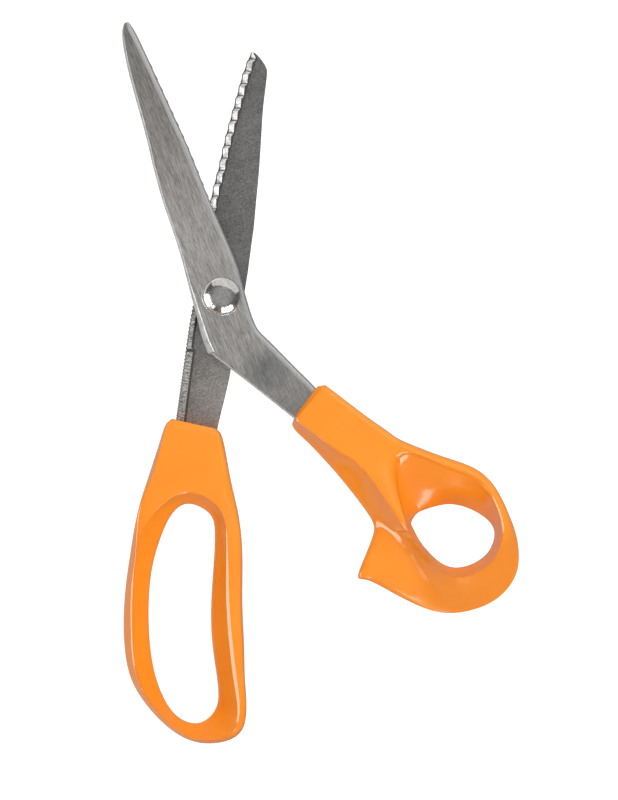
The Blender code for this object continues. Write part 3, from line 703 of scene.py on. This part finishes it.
def blade_section(width, bevel, foot, flange, nick=0.0):
    """(distance across, height, strip) round a section, from the back to the toothed edge and home.

    Heights are measured from the mid-plane towards the blade's own outer face. foot is the height of
    the toothed edge, and nick draws that edge's outer corner in.
    """
    outer = HALF_SPACE + SHEET
    grind = min(1.0, bevel)             # how fully the bevel and the bright line beside it are formed
    back = outer - BEVEL_SLOPE * bevel - LINE_FALL
    shape = [(CORNER, HALF_SPACE, EDGE), (0.0, HALF_SPACE + CORNER, EDGE), (0.0, back, EDGE),
             (CORNER, back + CORNER_RISE, BEVEL),
             (max(MIN_BEVEL, bevel - LINE_WIDTH * grind), outer - LINE_FALL * grind, BURR)]
    bend = min(BEND, 0.45 * width)
    face = width - bend - bevel - LINE
    shape += [(bevel + LINE + face * k / FACE_STEPS, outer, FACE) for k in range(FACE_STEPS)]
    for k in range(BEND_STEPS + 1):
        turn = math.pi / 2 * k / BEND_STEPS
        strip = ROLL if k < BEND_STEPS else WALL
        along = width - nick - bend + bend * math.sin(turn)
        shape.append((along, outer - bend + bend * math.cos(turn), strip))
    flange = min(flange, 0.55 * width)
    tip = width - LEAN * foot
    rise = min(0.3, (outer - bend - foot) / 2)
    # the DARK strips at the teeth's outer corner and along their inner heel are painted shade
    shape += [(tip - nick, foot + rise, DARK), (tip - nick - EDGE_LINE, foot, TOOTH),
              (tip - flange + HEEL_LINE, foot, DARK), (tip - flange, foot + 0.2, WALL)]
    root = width - flange - SHADE_RUN
    shape += [(root, HALF_SPACE - FILLET, WALL), (root - 0.3 * FILLET, HALF_SPACE - 0.3 * FILLET, WALL),
              (root - FILLET, HALF_SPACE, INNER), (root / 2, HALF_SPACE, INNER)]
    return shape


def place_section(shape, back, edge, side, swing):
    """The section's points between a back point and an edge point, straight or round the pivot."""
    width = math.dist(back, edge)
    start = math.atan2(back[1], back[0])
    sweep = math.atan2(edge[1], edge[0]) - start
    radius = math.hypot(*edge)
    points = []
    for along, height, _ in shape:
        t = along / width
        if swing:
            turn = start + sweep * t
            where = (radius * math.cos(turn), radius * math.sin(turn))
        else:
            where = mix(back, edge, t)
        points.append((*where, side * height))
    return points


def tooth_radii(tip, side):
    """Distances from the pivot of a blade's sections, outermost first, and of its groove edges."""
    radii = [tip - step for step in TIP_STEPS]
    grooves = set()
    for k in range(TEETH):
        start = TOOTH_START + TOOTH_PITCH * (k + 0.5 - TOOTH_LONG / 2)
        crest = start + TOOTH_PITCH * TOOTH_LONG
        root, top = (crest, start) if side > 0 else (start, crest)
        grooves.add(round(root + GROOVE / 2, 4))
        radii += [root - GROOVE / 2, root + GROOVE / 2, top - TOP_FLAT, top + TOP_FLAT,
                  start + TOOTH_PITCH * TOOTH_LONG / 2]
    plain = TOOTH_START + TOOTH_PITCH * TEETH
    radii += [plain + PLAIN_STEP * k for k in range(20)] + [TOOTH_START]
    inside = sorted({round(r, 4) for r in radii if TOOTH_START <= r <= radii[0]}, reverse=True)
    return inside, grooves


def along_table(table, height):
    """Reads a value from (distance up the blade, value) pairs."""
    return float(np.interp(height, [h for h, _ in table], [value for _, value in table]))


def toothed_rings(backs, edges, side, bevel, flange):
    """The sections of a blade's toothed part, with each one's strips."""
    back_line = curve_through(backs, 8)
    edge_line = curve_through(edges, 8)
    tip = math.hypot(*edges[0])
    radii, grooves = tooth_radii(tip, side)
    rings = []
    for r in radii:
        back = on_circle(back_line, r)
        edge = on_circle(edge_line, r)
        in_groove = any(-0.001 <= g - r <= GROOVE + 0.001 for g in grooves)
        foot = side * zigzag(r) + TOOTH_PLAY / 2 + (GROOVE_DEPTH if in_groove else 0.0)
        share = min(1.0, ((tip - r) / TIP_FADE) ** 0.7 + 0.12)
        width = along_table(bevel, back[1]) * share
        shape = blade_section(math.dist(back, edge), width, foot, along_table(flange, back[1]))
        # the tooth roots' grooves take the DARK strip: painted shade
        strips = [DARK if strip == TOOTH and r in grooves else strip for _, _, strip in shape]
        rings.append((place_section(shape, back, edge, side, True), strips))
    return rings


def tang_rings(stations, steps, side, bevel, flange, saw):
    """The sections along a run of (back, edge) stations, with each one's strips."""
    backs = curve_through([back for back, _ in stations], steps)
    edges = curve_through([edge for _, edge in stations], steps)
    rings = []
    for k, (back, edge) in enumerate(zip(backs, edges)):
        nick = saw * (k % 2) if edge[1] < SAW_FROM else 0.0
        notch = saw > 0 and NOTCH[1] < edge[1] < NOTCH[0]
        foot = TOOTH_PLAY / 2 + (NOTCH_DEPTH if notch else 0.0)
        width = along_table(bevel, back[1])
        shape = blade_section(math.dist(back, edge), width, foot, along_table(flange, edge[1]), nick)
        # the nick takes the DARK strip: painted shade in a real nick
        edge_strip = DARK if notch else (SCORE if saw else TOOTH)
        strips = [edge_strip if strip == TOOTH else strip for _, _, strip in shape]
        rings.append((place_section(shape, back, edge, side, False), strips))
    return rings


def blade(name, rings, mats, body):
    """A blade from its sections, tip first, with the pivot's hole in it."""
    count = len(rings[0][0])
    verts = [point for ring, _ in rings for point in ring]
    faces = []
    marks = []
    for r, (_, strips) in enumerate(rings[:-1]):
        for k in range(count):
            a = r * count + k
            b = r * count + (k + 1) % count
            faces.append((a, b, b + count, a + count))
            marks.append(strips[k])
    last = (len(rings) - 1) * count
    faces.append(tuple(range(count)))
    faces.append(tuple(last + k for k in reversed(range(count))))
    marks += [EDGE, EDGE]
    obj = make_piece(name + "_steel", verts, faces, mats, body, SLOTS[name], name)
    obj.data.polygons.foreach_set("material_index", marks)
    drill_pivot_hole(obj)
    shade(obj, 14)


def drill_pivot_hole(obj):
    """Cuts the round hole that the pivot's bushes line."""
    reach = 5.0                 # past both faces of the blade
    tool = add_mesh("drill", *turned([(0.0, -reach), (HOLE_R, -reach), (HOLE_R, reach), (0.0, reach)], 64))
    hole = obj.modifiers.new("hole", "BOOLEAN")
    hole.operation = "DIFFERENCE"
    hole.solver = "EXACT"
    hole.object = tool
    settle(obj)
    bpy.data.objects.remove(tool)


def front_blade(mats):
    """The longer blade, which the thumb moves: its outer face shows, and its teeth point down."""
    backs = [(-32.3, 90.9), (-33.05, 88.4), (-33.0, 84.9), (-31.0, 74.3), (-25.2, 53.0), (-22.6, 42.0),
             (-19.6, 31.3), (-16.0, 20.7), (-12.8, 11.0)]
    edges = [(-31.1, 91.0), (-30.0, 89.7), (-27.3, 84.8), (-17.5, 63.4), (-10.9, 48.7), (-4.9, 33.7),
             (-1.4, 25.7), (2.4, 16.9)]
    blade_end = [
        # back, toothed side
        ((-14.8, 16.9), (0.6, 21.2)), ((-13.4, 12.4), (3.4, 14.6)), ((-12.0, 7.0), (5.6, 8.8)),
        ((-10.4, 0.8), (7.4, 2.0)), ((-8.6, -6.0), (9.3, -4.6)), ((-7.0, -12.3), (10.8, -8.8)),
        ((-5.7, -16.4), (11.9, -11.0)), ((-4.5, -19.4), (12.9, -12.3)),
    ]
    tang = [
        ((-3.4, -19.5), (13.3, -12.7)), ((0.6, -22.6), (15.6, -14.9)), ((6.7, -27.2), (19.2, -18.5)),
        ((14.5, -33.3), (24.2, -23.6)), ((23.3, -40.3), (30.4, -29.8)), ((31.3, -46.6), (37.4, -37.6)),
        ((38.5, -52.4), (43.6, -44.6)),
    ]
    rings = toothed_rings(backs, edges, 1, FRONT_BEVEL, FRONT_FLANGE)
    for stations in (blade_end, tang):
        rings += tang_rings(stations, 5, 1, FRONT_BEVEL, FRONT_FLANGE, 0.0)
    blade("front_blade", rings, mats, FRONT)


def rear_blade(mats):
    """The shorter blade, under the front one: its inner face shows, and its teeth point up."""
    backs = [(10.7, 81.4), (12.4, 79.8), (14.2, 77.3), (15.0, 74.7), (13.7, 63.3), (13.0, 52.7), (12.3, 42.0),
             (11.3, 31.3), (10.3, 20.7), (8.9, 11.0)]
    edges = [(9.7, 81.3), (7.0, 74.1), (4.0, 63.4), (1.1, 52.7), (-1.3, 42.0), (-3.4, 33.7), (-6.8, 14.6)]
    tang = [
        ((10.0, 19.0), (-6.0, 19.6)), ((9.2, 13.0), (-7.1, 13.4)), ((8.4, 7.0), (-8.2, 7.0)),
        ((7.2, 0.0), (-9.4, -0.5)), ((5.4, -10.0), (-11.2, -10.6)), ((3.6, -20.0), (-12.6, -20.6)),
        ((2.2, -28.0), (-13.8, -29.0)), ((0.6, -35.0), (-14.8, -36.2)), ((-1.0, -41.5), (-15.6, -42.5)),
        ((-2.8, -50.0), (-15.8, -50.6)), ((-4.6, -58.0), (-15.8, -58.6)),
    ]
    rings = toothed_rings(backs, edges, -1, REAR_BEVEL, REAR_FLANGE)
    rings += tang_rings(tang, 15, -1, REAR_BEVEL, REAR_FLANGE, SCORE_DEPTH)
    blade("rear_blade", rings, mats, REAR)


# ---------------------------------------------------------------- pivot

HEAD_R = 6.0
HEAD_LOW = 3.3              # underside of the pin's head, above the mid-plane
HEAD_RIM = 0.25             # upright edge of the head
HEAD_SLOPE = math.radians(46)       # slope of the dome at that edge
PIN_R = 3.0
PIN_LOW = -5.1
PIN_CHAMFER = 0.4
LIP_R = 6.1                 # inner radius of the lip round the head
LIP_WIDTH = 0.5
LIP_HEIGHT = 0.05
ROUND = 96                  # segments round the head and the lip


def dome(steps):
    """The head's spherical cap as (radius, height) pairs, from its edge to the middle."""
    ball = HEAD_R / math.sin(HEAD_SLOPE)
    edge = HEAD_LOW + HEAD_RIM - ball * math.cos(HEAD_SLOPE)
    turns = [HEAD_SLOPE * (1 - k / steps) for k in range(steps)]
    return [(ball * math.sin(turn), edge + ball * math.cos(turn)) for turn in turns] + [(0.0, edge + ball)]


def pivot_pin(mat):
    """The domed pin through both blades: a polished head on a plain shank."""
    shank = [(0.0, PIN_LOW), (PIN_R - PIN_CHAMFER, PIN_LOW),
             (PIN_R, PIN_LOW + PIN_CHAMFER), (PIN_R, HEAD_LOW)]
    under = [(HEAD_R - 0.2, HEAD_LOW), (HEAD_R, HEAD_LOW + 0.12)]
    verts, faces = turned(shank + under + dome(22), ROUND)
    shade(make_piece("pivot_head", verts, faces, [mat], REAR, "polished_steel", "pivot_pin"), 35)


def coined_ring(mat):
    """The lip that the press leaves in the front blade round the pin's head."""
    face = HALF_SPACE + SHEET
    foot = face - 0.2
    steps = 8
    lip = []
    for k in range(steps + 1):
        lip.append((LIP_R + LIP_WIDTH * k / steps, face + LIP_HEIGHT * math.sin(math.pi * k / steps)))
    verts, faces = turned([(LIP_R, foot)] + lip + [(LIP_R + LIP_WIDTH, foot)], ROUND)
    obj = make_piece("front_blade_coining", verts, faces, [mat], FRONT, "front_steel", "front_blade")
    obj.data.shade_smooth()


# ---------------------------------------------------------------- studio

CAMERA_HEIGHT = 0.9                  # above the plane between the blades
VIEW_CENTRE = (0.0290, -0.0347)      # what the middle of the picture shows, from the pivot
VIEW_LENGTH = 0.2667                 # length of that plane that the picture's long side spans
SENSOR = 36.0
BOX_DISTANCE = 1.2                   # from the view's centre to the soft boxes
TABLE_HALF = 4.0
SKY_UP = ((-1.0, 0.1), (0.0, 0.1), (0.45, 0.13), (0.82, 0.37))    # brightness against the sine of height
SKY_ACROSS = ((-0.8, 0.85), (-0.1, 0.3), (0.5, 0.2))              # below the horizon, from left to right
HORIZON = (0.14, 0.04)               # sines of height between which the first ramp gives way to the second


def camera():
    """A camera straight above the shears."""
    data = bpy.data.cameras.new("camera")
    data.sensor_width = SENSOR
    data.lens = SENSOR * CAMERA_HEIGHT / VIEW_LENGTH
    obj = bpy.data.objects.new("camera", data)
    bpy.context.scene.collection.objects.link(obj)
    obj.location = (*VIEW_CENTRE, AXIS_Z + CAMERA_HEIGHT)
    bpy.context.scene.camera = obj


def softbox(name, azimuth, height, width, tall, radiance, lights="all"):
    """A rectangular light that faces the shears. Its place and its size are angles in degrees.

    A box may light everything, only shade matt surfaces ("matt"), or only show as a reflection ("gloss").
    """
    turn, lift = math.radians(azimuth), math.radians(height)
    towards = Vector((math.cos(turn) * math.cos(lift), math.sin(turn) * math.cos(lift), math.sin(lift)))
    data = bpy.data.lights.new(name, "AREA")
    data.shape = "RECTANGLE"
    data.size = 2 * BOX_DISTANCE * math.tan(math.radians(width / 2))
    data.size_y = 2 * BOX_DISTANCE * math.tan(math.radians(tall / 2))
    data.energy = radiance * data.size * data.size_y * math.pi
    obj = bpy.data.objects.new(name, data)
    bpy.context.scene.collection.objects.link(obj)
    obj.location = Vector((*VIEW_CENTRE, 0.0)) + towards * BOX_DISTANCE
    obj.rotation_euler = towards.to_track_quat("Z", "Y").to_euler()
    obj.visible_glossy = lights != "matt"
    obj.visible_diffuse = lights != "gloss"


def brightness(tree, value, stops):
    """A grey from a value between -1 and 1, by (value, grey) stops."""
    span = tree.nodes.new("ShaderNodeMapRange")
    span.inputs["From Min"].default_value = -1.0
    span.inputs["From Max"].default_value = 1.0
    tree.links.new(value, span.inputs["Value"])
    shades = tree.nodes.new("ShaderNodeValToRGB")
    set_stops(shades, [((place + 1) / 2, (grey, grey, grey)) for place, grey in stops])
    tree.links.new(span.outputs["Result"], shades.inputs["Fac"])
    return shades.outputs["Color"]


def sky():
    """The room round the table: grey overhead, dark near the horizon, and a pale wall low on the left."""
    world = bpy.data.worlds.new("studio")
    bpy.context.scene.world = world
    world.use_nodes = True
    tree = world.node_tree
    coords = tree.nodes.new("ShaderNodeTexCoord")
    split = tree.nodes.new("ShaderNodeSeparateXYZ")
    tree.links.new(coords.outputs["Generated"], split.inputs["Vector"])
    ground = tree.nodes.new("ShaderNodeMapRange")
    ground.inputs["From Min"].default_value, ground.inputs["From Max"].default_value = HORIZON
    tree.links.new(split.outputs["Z"], ground.inputs["Value"])
    both = tree.nodes.new("ShaderNodeMix")
    both.data_type = "RGBA"
    tree.links.new(ground.outputs["Result"], both.inputs["Factor"])
    tree.links.new(brightness(tree, split.outputs["Z"], SKY_UP), both.inputs[MIX_A])
    tree.links.new(brightness(tree, split.outputs["X"], SKY_ACROSS), both.inputs[MIX_B])
    tree.links.new(both.outputs[MIX_RESULT], tree.nodes["Background"].inputs["Color"])
    tree.nodes["Background"].inputs["Strength"].default_value = 1.0


def table():
    """A white table that glows by itself, takes no shadow and doesn't show in reflections."""
    far = TABLE_HALF
    mesh = bpy.data.meshes.new("table")
    mesh.from_pydata([(-far, -far, 0), (far, -far, 0), (far, far, 0), (-far, far, 0)], [], [(0, 1, 2, 3)])
    floor = bpy.data.objects.new("table", mesh)
    floor.location.z = -0.2 * MM
    bpy.context.scene.collection.objects.link(floor)
    f = Finish("table_white", (0.2, 0.2, 0.2), 0.8)
    f.set("Specular IOR Level", 0.0)
    f.set("Emission Color", (1, 1, 1, 1))
    f.set("Emission Strength", 1.0)
    mesh.materials.append(f.mat)
    floor.visible_glossy = False


def studio():
    """Soft boxes round the camera, over a bright white table."""
    sky()
    # azimuth and height, width and height of the box, brightness, what it lights
    softbox("key", 50, 64, 30, 30, 11.5, "matt")
    softbox("low", 291, 20, 42, 24, 8.0, "gloss")
    softbox("left", 195, 17, 40, 26, 8.0, "gloss")
    softbox("corner", 229, 22, 9, 18, 2.0, "gloss")
    softbox("fill", 255, 34, 100, 56, 1.2, "matt")
    softbox("back", 72, 22, 110, 44, 0.65)
    table()
    view = bpy.context.scene.view_settings
    view.view_transform = "Standard"
    view.look = "None"


# ---------------------------------------------------------------- the shears

BRUSHING = math.radians(-22)        # direction of the front blade's grinding lines


def dress(node, mat):
    """Gives a CAD node that shows as it is its finish."""
    obj = frame["nodes"][node]
    obj.data.materials.clear()
    obj.data.materials.append(mat)
    shade(obj, 32)


def blades(face):
    """Both blades, with a finish for each strip round their sections, from EDGE to SCORE."""
    bevel = ground_bright("bevel_steel", BRUSHING, (0.70, 0.69, 0.68), (0.3, 0.45))
    line = ground_bright("bevel_edge_steel", BRUSHING, (0.9, 0.9, 0.89), (0.3, 0.4), 1.0, 0.95, 0.03)
    roll = brushed("bend_steel", BRUSHING, (0.74, 0.74, 0.73), (0.90, 0.895, 0.885), 0.4, 0.5, 0.1)
    tooth = ground_bright("tooth_steel", math.radians(80), (0.80, 0.785, 0.775), (0.35, 0.5), 0.5, 0.5)
    inner = ground_dark()
    edge = brushed("edge_steel", 0.0, (0.22, 0.215, 0.21), (0.36, 0.355, 0.35), 0.4, 0.55, 0.2)
    # painted shade: the dark finish for tooth roots, tooth edges, the nick and the rear flange's inner wall
    painted_shade = painted_shade_and_grime()
    front_blade([edge, bevel, line, face, roll, roll, tooth, inner, painted_shade, tooth])
    # the rear blade's flange wall (WALL) takes the painted shade finish
    rear_blade([edge, edge, edge, face, roll, painted_shade, tooth, inner, painted_shade, scored()])


def pivot(face):
    """The pin and the lip round its head, and the finishes of the hidden pieces."""
    bright = polished()
    pivot_pin(bright)
    coined_ring(face)
    dress("pivot_nut", bright)
    for node in ("front_bush", "rear_bush"):
        dress(node, acetal())
    for node in ("thrust_washer", "spring_washer"):
        dress(node, brushed("washer_" + node, 0.0, (0.35, 0.34, 0.33), (0.55, 0.54, 0.52)))


def main():
    orange = plastic()
    finger_handle(orange)
    thumb_handle(orange)
    face = face_steel(BRUSHING)
    blades(face)
    pivot(face)
    camera()
    studio()


main()
